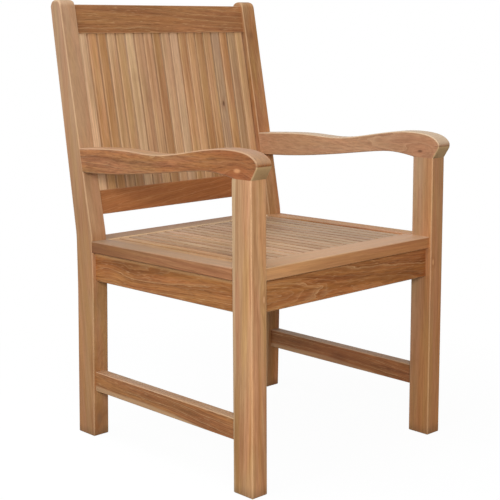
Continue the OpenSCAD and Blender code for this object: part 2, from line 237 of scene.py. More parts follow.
# %% What a board tells its material
class Timber:
    """The wires that the recipe reads: a board's attributes, and the place and the facing of a point."""

    def __init__(self, g):
        self.log = self.attribute(g, "timber")
        self.knot = self.attribute(g, "knot")
        self.knot_shade = self.attribute(g, "knot_shade", "Fac")
        self.lightness, self.redness, self.greyness = g.parts(self.attribute(g, "tone"))
        self.calm, self.sapwood, self.wear_and_sheen = g.parts(self.attribute(g, "traits"))
        self.end_grain = self.attribute(g, "end_grain", "Fac")
        self.eased = self.attribute(g, "eased", "Fac")
        self.side, self.depth, self.height = g.parts(g.wire("ShaderNodeTexCoord", None, None, "Object"))
        self.upward = g.parts(g.wire("ShaderNodeNewGeometry", output="Normal"))[2]

    @staticmethod
    def attribute(g, name, output="Vector"):
        """One of the attributes that the mesh carries."""
        return g.wire("ShaderNodeAttribute", {"attribute_name": name}, output=output)


class Palette:
    """The colours of one kind of board, and how strongly its marks show: fine grain and how many dashes of
    it there are in a metre, dark figure, pale growth lines, drift in hue and the painted highlight on eased
    edges. A ring has its width. Armrests have a nose with a glued joint, and on the aprons painted light
    lies over the shade under the seat."""

    def __init__(self, light, dark, grain=0.3, dashes=16, figure=0.0, pale_lines=0.0, drift=0.6, edge=0.14,
                 ring=4.2 * MM, nose=False, light_under_seat=False):
        self.light = srgb(light)
        self.dark = srgb(dark)
        self.grain = grain
        self.dashes = dashes
        self.figure = figure
        self.pale_lines = pale_lines
        self.drift = drift
        self.edge = edge
        self.ring = ring
        self.nose = nose
        self.light_under_seat = light_under_seat


# A palette's edge is the strength of the painted highlight on its eased edges.
PALETTES = {
    "teak_post": Palette("#CA9E73", "#AC7D51", grain=0.24, drift=0.85, edge=0.22),
    "teak_armrest": Palette("#B17D51", "#916039", grain=0.60, dashes=34, figure=0.06, pale_lines=0.34,
                            drift=0.9, nose=True),
    "teak_rail": Palette("#AD794D", "#885530", grain=0.42, dashes=30, figure=0.06, pale_lines=0.6, drift=0.4),
    "teak_apron": Palette("#B87F4A", "#8F5A2E", grain=0.48, dashes=26, figure=0.06, pale_lines=0.6,
                          light_under_seat=True),
    "teak_board": Palette("#C5966A", "#A1714B", grain=0.28, edge=0.06),
    "teak_slat": Palette("#CDA57B", "#AE845A", grain=0.22, drift=0.45, ring=5.2 * MM),
    "dowel_wood": Palette("#D2B48A", "#B08E62"),
}
print("Palettes:", ", ".join(PALETTES))

# %% [markdown]
# The rings wander slowly along the log, ripple a little, and swirl round a knot. Each one ends in a thin
# line of late wood, darker in some years than in others. Over them lie marks that are long along the log and
# narrow across it: streaks, strands of grain, dark flecks, pale glints, fibres and pores. Each is a noise
# with its own number of waves in a metre across and along the log, and a soft step between two of its values
# sharpens a mark that has an edge.

# %% Growth rings and grain
WAVES = {"wander": (14, 2.6), "ripple": (90, 22), "streaks": (120, 3.5), "patches": (20, 4.5),
         "pink": (34, 5), "golden": (55, 4), "fibres": (900, 16), "flecks": (430, 34),
         "glints": (470, 45), "pores": (1500, 60)}
STEPS = {"pink": (0.42, 0.60), "golden": (0.42, 0.60), "flecks": (0.60, 0.74), "glints": (0.62, 0.74),
         "pores": (0.62, 0.78), "shade": (0.45, 0.79), "bands": (0.52, 0.72), "strands": (0.42, 0.64),
         "fibres": (0.30, 0.62), "pale bands": (0.34, 0.54)}
STRANDS_ACROSS = 320
WANDER = 28 * MM
RIPPLE = 2.2 * MM
SWIRL = 12 * MM
SWIRL_FADE = -5200
KNOT_STRETCH = 0.45
LATE_WOOD_SHARPNESS = 7


def noise(graph, place, across, along, detail=2.0, roughness=0.5):
    """A noise from 0 to 1 with this many waves in a metre across and along the log."""
    scaled = graph.vector("MULTIPLY", place, (across, across, along))
    return graph.wire("ShaderNodeTexNoise", {"noise_dimensions": "3D"},
                      {"Vector": scaled, "Scale": 1.0, "Detail": detail, "Roughness": roughness}, "Fac")


class Marks:
    """The marks of teak at a point of a board, each from 0 to 1, and its distances in the log."""

    def __init__(self, g, timber, palette):
        def pattern(name, detail=2.0, roughness=0.5):
            """The noise of this name, with its own waves."""
            return noise(g, timber.log, *WAVES[name], detail, roughness)

        def sharp(name, detail=1.0):
            """The same with its own step, from 0 to 1."""
            return g.step(pattern(name, detail), *STEPS[name])

        self.from_knot = g.vector("LENGTH", g.vector("MULTIPLY", timber.knot, (1, 1, KNOT_STRETCH)))
        from_heart = g.vector("LENGTH", g.vector("MULTIPLY", timber.log, (1, 1, 0)))
        wander = pattern("wander") - 0.5
        self.ripple = pattern("ripple") - 0.5
        swirl = g.math("EXPONENT", self.from_knot * self.from_knot * SWIRL_FADE)
        self.radius = from_heart + wander * WANDER + self.ripple * RIPPLE + swirl * SWIRL
        place = self.radius / palette.ring
        self.bands = g.wire("ShaderNodeTexNoise", {"noise_dimensions": "1D"},
                            {"W": place, "Scale": 0.9, "Detail": 3.0, "Roughness": 0.62}, "Fac")
        year = g.wire("ShaderNodeTexWhiteNoise", {"noise_dimensions": "1D"},
                      {"W": g.math("FLOOR", place)}, "Value")
        self.late_wood = g.math("FRACT", place) ** LATE_WOOD_SHARPNESS * year
        self.streaks = pattern("streaks", 3, 0.6)
        self.patches = pattern("patches", 1.5)
        self.pink = sharp("pink", 2)
        self.golden = sharp("golden", 2)
        self.strands = noise(g, timber.log, STRANDS_ACROSS, palette.dashes, 3, 0.7)
        self.fibres = pattern("fibres", 2.5, 0.6)
        self.flecks = sharp("flecks")
        self.glints = sharp("glints")
        self.pores = sharp("pores")

    def broken(self, least, rise):
        """An amount that is broken up along the strands of the grain."""
        return self.strands * rise + least


print("Marks of teak:", ", ".join(WAVES))

# %% [markdown]
# Teak is never of one hue: it drifts from golden to pink within a hand's breadth, and that drift matters more
# to the eye than its dark lines. A stain is laid over the colour with its own strength, and a tint
# multiplies it. Then come the knot and the board's own tone, because a chair's boards come from many trees.

# %% Clean wood
# Some of these paint light: the pale of the tops is partly a painted sheen, the pale of eased edges is a
# painted highlight, and the pale on the aprons is painted light over the shade under the seat. The tint of
# darker edges is painted shade.
STAINS = {"pore": ("#6A4126", 0.25), "fibre gap": ("#7E5030", 0.18), "pale line": ("#E3BC8C", 1),
          "sapwood": ("#DDBE97", 0.45), "knot halo": ("#9C6038", 0.35), "wear_and_sheen": ("#C9AE92", 1),
          "nose block": ("#BA9D71", 0.75), "glue": ("#5A3A22", 0.3), "painted light under seat": ("#F2BE84", 1),
          "painted edge highlight": ("#E2C09A", 1), "dirt": ("#5F4A36", 1)}
DARK_KNOT = srgb("#5E3218")
PALE_KNOT = srgb("#E3B183")
KNOT_STRENGTH = 0.8
BROAD_LINES, BROAD_SHARPNESS = 3.4, 18
FINE_LINES, FINE_SHARPNESS = 0.7, 5
CALM_SHADE = 0.45
GREY_RED, GREY_BLUE = 1.04, 0.9
TINTS = {"pink": (1.05, 0.90, 0.95), "golden": (1.0, 0.99, 0.78), "ring": (0.42, 0.34, 0.26),
         "strand": (0.42, 0.34, 0.27), "fleck": (0.50, 0.40, 0.32), "red": (1.06, 0.84, 0.66),
         "sawn end": (0.70, 0.68, 0.60), "nose": (0.93, 0.82, 0.74), "painted edge shade": (0.55, 0.38, 0.26)}


def stained(g, amount, colour, stain):
    """The colour with a stain laid over it, as far as the amount says."""
    code, strength = STAINS[stain]
    return g.mix(amount * strength, colour, srgb(code))


def pale_lines(g, marks, ring):
    """Broad and fine pale growth lines, with short glints between them."""
    broad = g.math("FRACT", marks.radius / (ring * BROAD_LINES) + marks.ripple * 0.25) ** BROAD_SHARPNESS
    fine = g.math("FRACT", marks.radius / (ring * FINE_LINES) + marks.ripple * 0.5) ** FINE_SHARPNESS
    lines = broad * g.step(marks.patches, *STEPS["pale bands"]) + fine * 0.4 + marks.glints * 0.5
    return lines * marks.broken(0.35, 1)


def wood_colour(g, timber, marks, palette):
    """Clean teak with its drift of hue, its lines and pores, and its sapwood."""
    shade = g.step(marks.streaks * 0.5 + marks.bands * 0.3 + marks.patches * 0.4, *STEPS["shade"])
    colour = g.mix(shade, palette.light, palette.dark)
    colour = g.tint(marks.pink * palette.drift, colour, TINTS["pink"])
    colour = g.tint(marks.golden * palette.drift, colour, TINTS["golden"])
    lines = g.step(marks.bands, *STEPS["bands"]) * 0.6 + marks.late_wood
    colour = g.tint(lines * (0.10 + palette.figure), colour, TINTS["ring"])
    colour = g.tint(g.step(marks.strands, *STEPS["strands"]) * palette.grain, colour, TINTS["strand"])
    colour = g.tint(marks.flecks * palette.grain, colour, TINTS["fleck"])
    colour = stained(g, marks.pores, colour, "pore")
    colour = stained(g, 1 - g.step(marks.fibres, *STEPS["fibres"]), colour, "fibre gap")
    if palette.pale_lines:
        pale = pale_lines(g, marks, palette.ring)
        colour = stained(g, pale * palette.pale_lines, colour, "pale line")
    colour = g.mix(timber.calm, colour, g.mix(CALM_SHADE, palette.light, palette.dark))
    return stained(g, g.step(marks.radius - timber.sapwood, -1 * MM, 3 * MM), colour, "sapwood")


def with_knot(g, timber, marks, colour):
    """The colour with the board's knot, dark or pale, in its halo of stained wood."""
    colour = stained(g, 1 - g.step(marks.from_knot, 3 * MM, 11 * MM), colour, "knot halo")
    core = 1 - g.step(marks.from_knot, 1.2 * MM, 4 * MM)
    return g.mix(core * KNOT_STRENGTH, colour, g.mix(timber.knot_shade, DARK_KNOT, PALE_KNOT))


def toned(g, timber, colour):
    """The colour made as light, as red and as grey as the board is."""
    colour = g.vector("SCALE", colour, Scale=1 + timber.lightness)
    colour = g.tint(timber.redness, colour, TINTS["red"])
    grey = g.wire("ShaderNodeRGBToBW", None, {"Color": colour})
    pale_grey = g.wire("ShaderNodeCombineColor", None,
                       {"Red": grey * GREY_RED, "Green": grey, "Blue": grey * GREY_BLUE})
    return g.mix(timber.greyness, colour, pale_grey)


print("Stains:", len(STAINS), "and tints:", len(TINTS))

# %% [markdown]
# A chair in use shows where it was sawn, glued and touched. The nose of an armrest is a block glued under the
# board, so it has end grain in front and a thin joint above. Tops are pale from wear and a painted sheen.
# Painted light fills the shade in the angle under the seat's side boards, eased edges get a painted
# highlight, the edges of the side boards and the gaps between the seat slats get painted shade, and the feet
# are dirty from the ground. The heights of the joint and of the seat's underside are measured on the frame.

# %% Ends, joints, wear and painted light
FORWARD = -0.35
DOWNWARD = -0.02
POST_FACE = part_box("front_post_left")[0].y
APRON_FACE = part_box("side_apron_left")[1].x
NOSE_DEPTHS = (-0.27, -0.12)
JOINT_LINE = 0.5 * MM
BOARD_THICKNESS = 24 * MM
# How far below the side boards the painted light over the shade under the seat reaches.
PAINTED_LIGHT_REACH = 10.5 * MM
DIRT_HEIGHTS = (10 * MM, 34 * MM)
DIRT_WAVE = 20 * MM
TOP_FACING = (-0.05, 0.5)
SAWN_END = 0.7


def faces_forward_and_down(normal):
    """True for the lower half of an armrest's nose, which is the glued block."""
    return normal.y < FORWARD and normal.z < DOWNWARD


def nose_joint_height():
    """Where the block under the nose meets the board of the armrest: the widest point of the nose."""
    mesh = frame["nodes"]["armrest_left"].data
    block = [f for f in mesh.polygons if faces_forward_and_down(f.normal)]
    return max(mesh.vertices[v].co.z for f in block for v in f.vertices)


def seat_underside():
    """Height of the side boards' underside in the middle of the chair, and its fall towards the back."""
    low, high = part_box("seat_side_board_left")
    slope = (high.z - BOARD_THICKNESS - low.z) / (high.y - low.y)
    return low.z + slope * high.y, slope


NOSE_JOINT = nose_joint_height()
SEAT_UNDERSIDE, SEAT_SLOPE = seat_underside()


def nose_block(g, timber, colour):
    """The end grain of the block under an armrest's nose, and the joint above it."""
    colour = stained(g, timber.end_grain, colour, "nose block")
    in_front = 1 - g.step(timber.depth, POST_FACE - 6 * MM, POST_FACE - 3 * MM)
    from_joint = (timber.height - NOSE_JOINT).math("ABSOLUTE")
    return stained(g, (1 - g.step(from_joint, JOINT_LINE, JOINT_LINE * 3)) * in_front, colour, "glue")


def paint_light_under_seat(g, timber, marks, colour):
    """Painted light on the aprons' outside, in the shaded angle under the overhang of the side boards."""
    above = timber.height + timber.depth * SEAT_SLOPE - SEAT_UNDERSIDE
    outside = g.step(timber.side.math("ABSOLUTE"), APRON_FACE - 6 * MM, APRON_FACE - 2 * MM)
    amount = g.step(above, -PAINTED_LIGHT_REACH, -1 * MM) * outside * marks.broken(0.35, 0.8)
    return stained(g, amount, colour, "painted light under seat")


def use_and_painted_light(g, timber, marks, palette, colour):
    """The colour with its sawn ends, joint, wear and dirt, and the painted highlights, sheen and shade."""
    top = g.step(timber.upward, *TOP_FACING)
    if palette.nose:
        front = 1 - g.step(timber.depth, *NOSE_DEPTHS)
        colour = g.tint(front * (1 - top), colour, TINTS["nose"])
    else:
        colour = g.tint(timber.end_grain * SAWN_END, colour, TINTS["sawn end"])
    # Pale tops: partly wear, partly a painted sheen.
    colour = stained(g, top * (marks.patches + 0.5) * timber.wear_and_sheen, colour, "wear_and_sheen")
    if palette.nose:
        colour = nose_block(g, timber, colour)
    # Painted light over the shade in the angle under the seat's side boards.
    if palette.light_under_seat:
        colour = paint_light_under_seat(g, timber, marks, colour)
    # A mark above zero paints a highlight on the edge, and one below zero paints shade there.
    colour = stained(g, timber.eased * palette.edge * marks.broken(0.7, 0.6), colour, "painted edge highlight")
    colour = g.tint(g.math("MAXIMUM", timber.eased * -1, 0), colour, TINTS["painted edge shade"])
    dirt = 1 - g.step(timber.height + marks.patches * DIRT_WAVE, *DIRT_HEIGHTS)
    return stained(g, dirt * marks.broken(0.15, 0.45), colour, "dirt")


print("Nose joint at", round(NOSE_JOINT / MM, 1), "mm, seat's underside at", round(SEAT_UNDERSIDE / MM, 1),
      "mm, falling by", round(SEAT_SLOPE, 4))

# %% [markdown]
# The recipe is now complete. Sanded teak is satin: its fibres and open pores make it a little rougher, and
# they also stand up or lie low, which a Bump node shows without any more faces.

# %% Teak
SATIN = 0.55
RELIEF_HEIGHT = 0.3 * MM
RELIEF_STRENGTH = 0.35
SHINE = 0.25


def new_material(name):
    """An empty material and its graph."""
    material = bpy.data.materials.new(name)
    material.use_nodes = True
    material.node_tree.nodes.clear()
    return material, Graph(material.node_tree)


def teak(name, palette):
    """The material of one kind of board."""
    material, g = new_material(name)
    timber = Timber(g)
    marks = Marks(g, timber, palette)
    colour = wood_colour(g, timber, marks, palette)
    colour = toned(g, timber, with_knot(g, timber, marks, colour))
    colour = use_and_painted_light(g, timber, marks, palette, colour)
    surface = SATIN + (marks.fibres - 0.5) * 0.22 + marks.pores * 0.15
    relief = marks.fibres * 0.6 - marks.pores * 0.7 + marks.late_wood * 0.25
    normal = g.wire("ShaderNodeBump", None,
                    {"Strength": RELIEF_STRENGTH, "Distance": RELIEF_HEIGHT, "Height": relief})
    sockets = {"Base Color": colour, "Roughness": surface, "Normal": normal, "Specular IOR Level": SHINE}
    shader = g.wire("ShaderNodeBsdfPrincipled", None, sockets)
    g.node("ShaderNodeOutputMaterial", None, {"Surface": shader})
    return material


WOODS = {name: teak(name, palette) for name, palette in PALETTES.items()}
print("A teak material has", len(WOODS["teak_post"].node_tree.nodes), "nodes")

# %% [markdown]
# A board is described by how it was cut. The heart of the tree lies at some distance and direction from its
# middle: to the side of a face, the face shows straight lines, and behind it, arches. The tone says how much
# lighter, redder or greyer the board is than its palette, and it may change along the board. Its traits are
# how calm its pattern is, where its sapwood starts and how pale its top is, from wear and a painted sheen.
# These few numbers are chosen one by one, as a joiner would pick boards from a pile. The slats' hearts follow
# odd steps instead, so that no slat looks like its neighbour, and the seat is lightest at its sixth slat and
# darker towards both sides.

# %% Boards
HIDDEN_KNOT = Vector((9, 9, 9))
NO_SAPWOOD = 9.0
STEADY = (0.0, 0.0, 0.0)
DARK, STAINED, PALE = 0.0, 0.35, 1.0


class Board:
    """How one board was cut, how it is toned, and where it has a knot, which is dark, stained or pale.
    A knot of size 1 is 8 mm wide; one that lies off the face shows only as a stain and a swirl. The slope,
    in degrees, is the angle between the board and the log, at which rings and fibres run out of the board.
    Up, back and left say how the tone changes over a metre, calm how far the pattern is evened out, and worn
    says how pale the top is, partly from wear and partly from a painted sheen. The pale sapwood starts at its
    own distance from the heart."""

    def __init__(self, heart, towards, tone=STEADY, knot=None, knot_shade=DARK, knot_size=1.0, slope=0.0,
                 up=STEADY, back=STEADY, left=STEADY, calm=0.0, sapwood=NO_SAPWOOD, wear_and_sheen=0.0):
        self.heart = heart
        self.towards = math.radians(towards)
        self.tone = tone
        self.knot = Vector(knot) if knot else HIDDEN_KNOT
        self.knot_shade = knot_shade
        self.knot_size = knot_size
        self.slope = math.radians(slope)
        self.change = np.array((left, back, up))
        self.traits = (calm, sapwood, wear_and_sheen)
        self.number = 0


BOARDS = {
    "front_post_left": Board(0.11, 20, tone=(-0.11, 0.32, 0.07), knot=(0.2465, -0.296, 0.375),
                             knot_shade=PALE, up=(0.1, -0.6, 0.5), back=(0.0, -8.0, 5.0), calm=0.2),
    "front_post_right": Board(0.09, 75, tone=(-0.14, 0.15, 0.05), knot=(-0.2461, -0.296, 0.373),
                              knot_shade=0.8, slope=0.6, up=(0.2, 0.0, 0.2), back=(-8.0, 0.0, 0.0),
                              left=(-6.0, 0.0, 0.0), calm=0.1, sapwood=0.1005),
    "rear_post_left": Board(0.10, 10, tone=(-0.08, 0.4, 0.0), knot=(0.256, 0.2700, 0.838), knot_size=3.0,
                            slope=1.0, left=(6.0, 0.0, 0.0), up=(-0.12, -0.4, 0.0)),
    "rear_post_right": Board(0.12, 80, tone=(-0.15, 0.3, 0.07), knot=(-0.262, 0.192, 0.036),
                             knot_shade=STAINED, knot_size=2.6, up=(0.10, 0.0, 0.3), calm=0.25, wear_and_sheen=0.28),
    "armrest_left": Board(0.10, 10, tone=(0.36, 0.0, 0.30), knot=(0.2385, -0.262, 0.606), slope=3.0,
                          back=(-0.1, 0.0, -0.2), calm=0.42, wear_and_sheen=0.8),
    "armrest_right": Board(0.08, 20, tone=(-0.04, 0.25, -0.03), knot=(-0.277, -0.259, 0.608),
                           knot_shade=PALE, knot_size=1.4, slope=1.5, back=(0.3, -0.8, 0.0), wear_and_sheen=0.28),
    "crest_rail": Board(0.08, 80, tone=(-0.03, 0.1, 0.0), slope=2.0, left=(0.45, 0.0, 0.0)),
    "lower_back_rail": Board(0.07, 30, tone=(0.02, 0.9, 0.0), slope=-3.0, left=(-0.1, 1.5, 0.0), calm=0.45),
    "front_apron": Board(0.07, 15, tone=(-0.05, 0.35, 0.0), slope=1.5, left=(-0.1, 0.9, 0.0)),
    "side_apron_right": Board(0.08, 30, tone=(-0.06, 0.35, 0.0), knot=(-0.261, 0.150, 0.364), knot_size=2.0,
                              slope=-1.5, back=(0.35, 0.0, 0.0)),
    "seat_front_board": Board(0.10, 40, tone=(0.05, 0.5, 0.0), slope=1.0, left=(-0.75, 2.0, 0.0), calm=0.35,
                              wear_and_sheen=0.38),
    "seat_side_board_right": Board(0.08, 70, tone=(-0.31, 0.75, 0.03), knot=(-0.301, 0.150, 0.400),
                                   knot_size=6.0, slope=1.5, back=(-0.9, 1.2, 0.0), wear_and_sheen=0.4),
    "seat_rear_board": Board(0.12, 50, tone=(-0.13, 0.0, 0.05), calm=0.5),
    "side_stretcher_right": Board(0.09, 100, tone=(-0.13, 0.35, 0.05), slope=1.4, sapwood=0.1085, wear_and_sheen=0.35),
    "side_stretcher_left": Board(0.09, 80, tone=(-0.12, 0.7, 0.1), knot=(0.264, -0.03, 0.120), knot_size=6.0,
                                 slope=1.2, back=(0.3, 0.0, 0.0), sapwood=0.106, wear_and_sheen=0.45),
}
BACK_SLAT_TONES = (
    (0.40, 0.1, 0.25), (-0.02, 0.35, 0.0), (-0.10, 0.5, 0.0), (0.0, 0.2, 0.1), (-0.13, 0.15, 0.0),
    (0.26, 0.0, 0.2), (0.0, 0.3, 0.15), (0.10, 0.25, 0.12), (-0.22, 0.5, 0.0), (0.13, 0.15, 0.15),
    (0.15, 0.1, 0.2), (-0.02, 0.25, 0.0), (0.12, 0.1, 0.05), (-0.16, 0.5, 0.0), (-0.02, 0.2, 0.0),
    (-0.02, 0.1, 0.22), (-0.05, 0.45, 0.0), (-0.10, 0.15, 0.1), (0.12, 0.15, 0.05))
LIGHTEST_SEAT_SLAT = 6
LIGHTEST, DARKEST, LIGHT_FALL = 0.20, -0.16, 0.04
for number, tone in enumerate(BACK_SLAT_TONES, 1):
    BOARDS[f"back_slat_{number:02d}"] = Board(0.05 + 0.011 * (number * 5 % 8), 47 * number % 180, tone)
    light = max(LIGHTEST - LIGHT_FALL * abs(number - LIGHTEST_SEAT_SLAT), DARKEST)
    light += 0.02 * (number * 7 % 5 - 2)
    tone = (light, 0.10 + 0.04 * (number % 4), 0.26 if number > 2 else 0.05)
    BOARDS[f"seat_slat_{number:02d}"] = Board(0.06 + 0.013 * (number % 5), 31 * number % 180, tone)
BOARDS["back_slat_16"].knot = Vector((0.148, 0.2426, 0.688))
print(len(BOARDS), "boards are picked by hand")

# %% [markdown]
# Each board gets its attributes here. Its grain runs along its longest direction, which the principal axis
# of its corners gives, also for a leaning post. The timber's coordinates are the place in that turned frame,
# moved away from the heart. They are linear over a board, so its corners are enough to carry them.

# %% The timber's own coordinates
LOG_STEP = 0.73
END_GRAIN_FROM = 0.7
END_GRAIN_RANGE = 0.25
WORLD_AXES = (Vector((1, 0, 0)), Vector((0, 1, 0)), Vector((0, 0, 1)))


def corners_of(mesh):
    """A mesh's vertices as an array."""
    places = np.zeros(len(mesh.vertices) * 3)
    mesh.vertices.foreach_get("co", places)
    return places.reshape(-1, 3)


def board_axes(places):
    """Two directions across the grain and one along it, from a board's corners."""
    spread = places - places.mean(0)
    along = Vector(np.linalg.eigh(spread.T @ spread)[1][:, 2])
    main = max(range(3), key=lambda i: abs(along[i]))
    along *= math.copysign(1, along[main])
    across = WORLD_AXES[1 if main == 0 else 0]
    across = (across - along * across.dot(along)).normalized()
    return across, along.cross(across), along


def put(mesh, name, kind, domain, values):
    """Writes an attribute."""
    attribute = mesh.attributes.get(name) or mesh.attributes.new(name, kind, domain)
    field = "vector" if kind == "FLOAT_VECTOR" else "value"
    attribute.data.foreach_set(field, np.asarray(values, np.float32).ravel())


def grain(mesh, boards, board_of_vertex):
    """Gives each board of a mesh its timber coordinates, its tone, its knot, its traits and its ends."""
    places = corners_of(mesh)
    timber = np.zeros_like(places)
    tone = np.zeros_like(places)
    knot = np.zeros_like(places)
    knot_shade = np.zeros(len(places))
    traits = np.zeros_like(places)
    for number, board in enumerate(boards):
        mine = board_of_vertex == number
        axes = board_axes(places[mine])
        turn = np.array(axes).T
        heart = board.heart * np.array((math.cos(board.towards), math.sin(board.towards), 0))
        middle = (places[mine].min(0) + places[mine].max(0)) / 2
        local = (places[mine] - middle) @ turn
        local[:, :2] += local[:, 2:] * math.tan(board.slope)
        timber[mine] = local + heart + (0, 0, LOG_STEP * board.number)
        tone[mine] = board.tone + (places[mine] - middle) @ board.change
        knot[mine] = (places[mine] - np.array(board.knot)) @ turn / board.knot_size
        knot_shade[mine] = board.knot_shade
        traits[mine] = board.traits
    put(mesh, "timber", "FLOAT_VECTOR", "POINT", timber)
    put(mesh, "tone", "FLOAT_VECTOR", "POINT", tone)
    put(mesh, "knot", "FLOAT_VECTOR", "POINT", knot)
    put(mesh, "knot_shade", "FLOAT", "POINT", knot_shade)
    put(mesh, "traits", "FLOAT_VECTOR", "POINT", traits)
    along = board_axes(places[board_of_vertex == 0])[2]
    facing = np.array([abs(f.normal.dot(along)) for f in mesh.polygons])
    put(mesh, "end_grain", "FLOAT", "FACE", np.clip((facing - END_GRAIN_FROM) / END_GRAIN_RANGE, 0, 1))


post_grain = board_axes(corners_of(frame["nodes"]["rear_post_left"].data))[2]
print("A rear post's grain runs along", [round(v, 3) for v in post_grain])

# %% [markdown]
# Every wooden piece is finished in the same way. It is shaded smooth over its round edges, with normals that
# are weighted towards its flats, and gets the wood of its kind. Then it rides on the one body of the chair,
# takes the place of its solids and keeps their slot. A board that was not picked by hand, such as a hidden
# one, takes its heart from its number.

# %% Finishing a piece
SHARP_ANGLE = math.radians(30)
FLATS_FIRST = 100


def tidy_normals(piece):
    """Smooth shading over rounded edges, flat on the flats and sharp in the corners, as a plain mesh."""
    piece.data.shade_smooth()
    piece.data.set_sharp_from_angle(angle=SHARP_ANGLE)
    weighted = piece.modifiers.new("weighted normals", "WEIGHTED_NORMAL")
    weighted.keep_sharp = True
    weighted.weight = FLATS_FIRST
    finished = bpy.data.meshes.new_from_object(piece.evaluated_get(bpy.context.evaluated_depsgraph_get()))
    piece.modifiers.clear()
    piece.data = finished
    return piece


def finish_piece(name, mesh, nodes, boards, board_of_vertex=None):
    """Links a wooden mesh as the piece that stands for these nodes, with its grain and its palette."""
    piece = new_object(name, mesh)
    if board_of_vertex is None:
        board_of_vertex = np.zeros(len(mesh.vertices), int)
    grain(mesh, boards, board_of_vertex)
    if nodes[0].startswith("armrest"):
        block = [faces_forward_and_down(f.normal) for f in mesh.polygons]
        put(mesh, "end_grain", "FLOAT", "FACE", block)
    tidy_normals(piece)
    slot = SLOT_OF_NODE[nodes[0]]
    piece.data.materials.clear()
    piece.data.materials.append(WOODS[slot])
    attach(piece, "root")
    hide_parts(*nodes)
    return piece


SLOT_OF_NODE = {part["node"]: part["material_slot"] for part in frame["record"]["subparts"]}
for number, node in enumerate(sorted(SLOT_OF_NODE)):
    BOARDS.setdefault(node, Board(0.07 + 0.013 * (number % 7), 37 * number % 180))
    BOARDS[node].number = number
print("Boards of each palette:", {s: list(SLOT_OF_NODE.values()).count(s) for s in PALETTES})

# %% [markdown]
# A joiner eases every edge that a hand can reach, and leaves the edges inside a joint sharp so that it
# closes. The same rule finds the edges here: an outer corner is rounded if no other piece of the frame lies
# against it, which a search tree over each solid tells quickly.

# %% What lies against what
TOUCHING = 0.5 * MM


def solid_tree(node):
    """A search tree over a node's surface."""
    mesh = frame["nodes"][node].data
    return BVHTree.FromPolygons([v.co for v in mesh.vertices], [tuple(p.vertices) for p in mesh.polygons])


TREES = {node: solid_tree(node) for node in frame["nodes"]}
BOXES = {node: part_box(node) for node in frame["nodes"]}


def touches_another(point, node):
    """True if a piece other than this node lies against the point."""
    for other, (low, high) in BOXES.items():
        near = all(low[i] - TOUCHING < point[i] < high[i] + TOUCHING for i in range(3))
        if near and other != node and TREES[other].find_nearest(point, TOUCHING)[0]:
            return True
    return False


print("Search trees over", len(TREES), "solids")

# %% [markdown]
# A copy of each solid is merged first, because its triangles come loose, and its flat triangles are joined so
# that only real edges are left. Bevel then rounds the free ones, and the new faces are marked for a painted
# highlight, which makes an eased edge lighter. The mark is below zero on the seat's side boards, where it
# paints their edges darker as shade. The front of the rear board stands a little proud of the slats, and a
# mark far above one paints that step fully in the pale colour of the edge highlight.

# %% Eased edges
MERGED = 0.01 * MM
FLAT = math.radians(0.3)
OUTER_CORNER = math.radians(50)
PROBES = (0.2, 0.5, 0.8)
EASING = {"teak_post": 2.4 * MM, "teak_armrest": 2.6 * MM, "teak_rail": 1.8 * MM, "teak_apron": 1.8 * MM,
          "teak_board": 2.0 * MM, "dowel_wood": 0.6 * MM}
ROUND_STEPS = 4
# On the seat's side boards the mark paints shade on the eased edges, in place of the highlight.
EDGE_SHADE_MARK = {"seat_side_board_left": -0.4, "seat_side_board_right": -0.4}
# So far above one, the mark paints the rear board's front step fully in the edge highlight's colour.
STEP_HIGHLIGHT_MARK = 20.0
STEP_FACING = -0.25


def merged_copy(node):
    """The node as a closed mesh of flat faces."""
    work = bmesh.new()
    work.from_mesh(frame["nodes"][node].data)
    bmesh.ops.remove_doubles(work, verts=work.verts, dist=MERGED)
    bmesh.ops.dissolve_limit(work, angle_limit=FLAT, verts=work.verts, edges=work.edges)
    return work


def free_edges(work, node):
    """The outer corners that nothing lies against."""
    found = []
    for edge in work.edges:
        if len(edge.link_faces) != 2 or edge.calc_face_angle_signed() < OUTER_CORNER:
            continue
        a, b = (v.co for v in edge.verts)
        touching = [touches_another(a.lerp(b, share), node) for share in PROBES]
        if touching.count(True) < len(PROBES) / 2:
            found.append(edge)
    return found


def eased_board(node):
    """The board with its free edges rounded."""
    work = merged_copy(node)
    edges = free_edges(work, node)
    mark = work.faces.layers.float.new("eased")
    made = bmesh.ops.bevel(work, geom=edges, offset=EASING[SLOT_OF_NODE[node]], offset_type="OFFSET",
                           segments=ROUND_STEPS, profile=0.5, clamp_overlap=True, affect="EDGES")
    # The new rounded faces carry the painted edge highlight, or painted shade where the mark is below zero.
    for face in made["faces"]:
        face[mark] = EDGE_SHADE_MARK.get(node, 1)
    # The rear board's front faces get the painted edge highlight in full.
    if node == "seat_rear_board":
        for face in work.faces:
            if face.normal.y < STEP_FACING:
                face[mark] = STEP_HIGHLIGHT_MARK
    mesh = bpy.data.meshes.new(node)
    work.to_mesh(mesh)
    work.free()
    print(node, "has", len(edges), "eased edges and", len(mesh.polygons), "faces")
    return finish_piece(node + "_wood", mesh, [node], [BOARDS[node]])


PLAIN_BOARDS = [node for node, slot in SLOT_OF_NODE.items()
                if slot in EASING and not node.startswith("rear_post")]
for node in PLAIN_BOARDS:
    eased_board(node)

# %% [markdown]
# A rear post bends, tapers and ends in a small dome, and a bevel would pinch on the dome's short edges. So
# it is swept instead: at each height the outline is measured on the solid with two rays, and a rectangle
# with round corners is laid there. The rings lie closer together where the outline curves: on the foot, at
# the two bends, each given by its lowest and highest ring and the step between them, and on the dome.

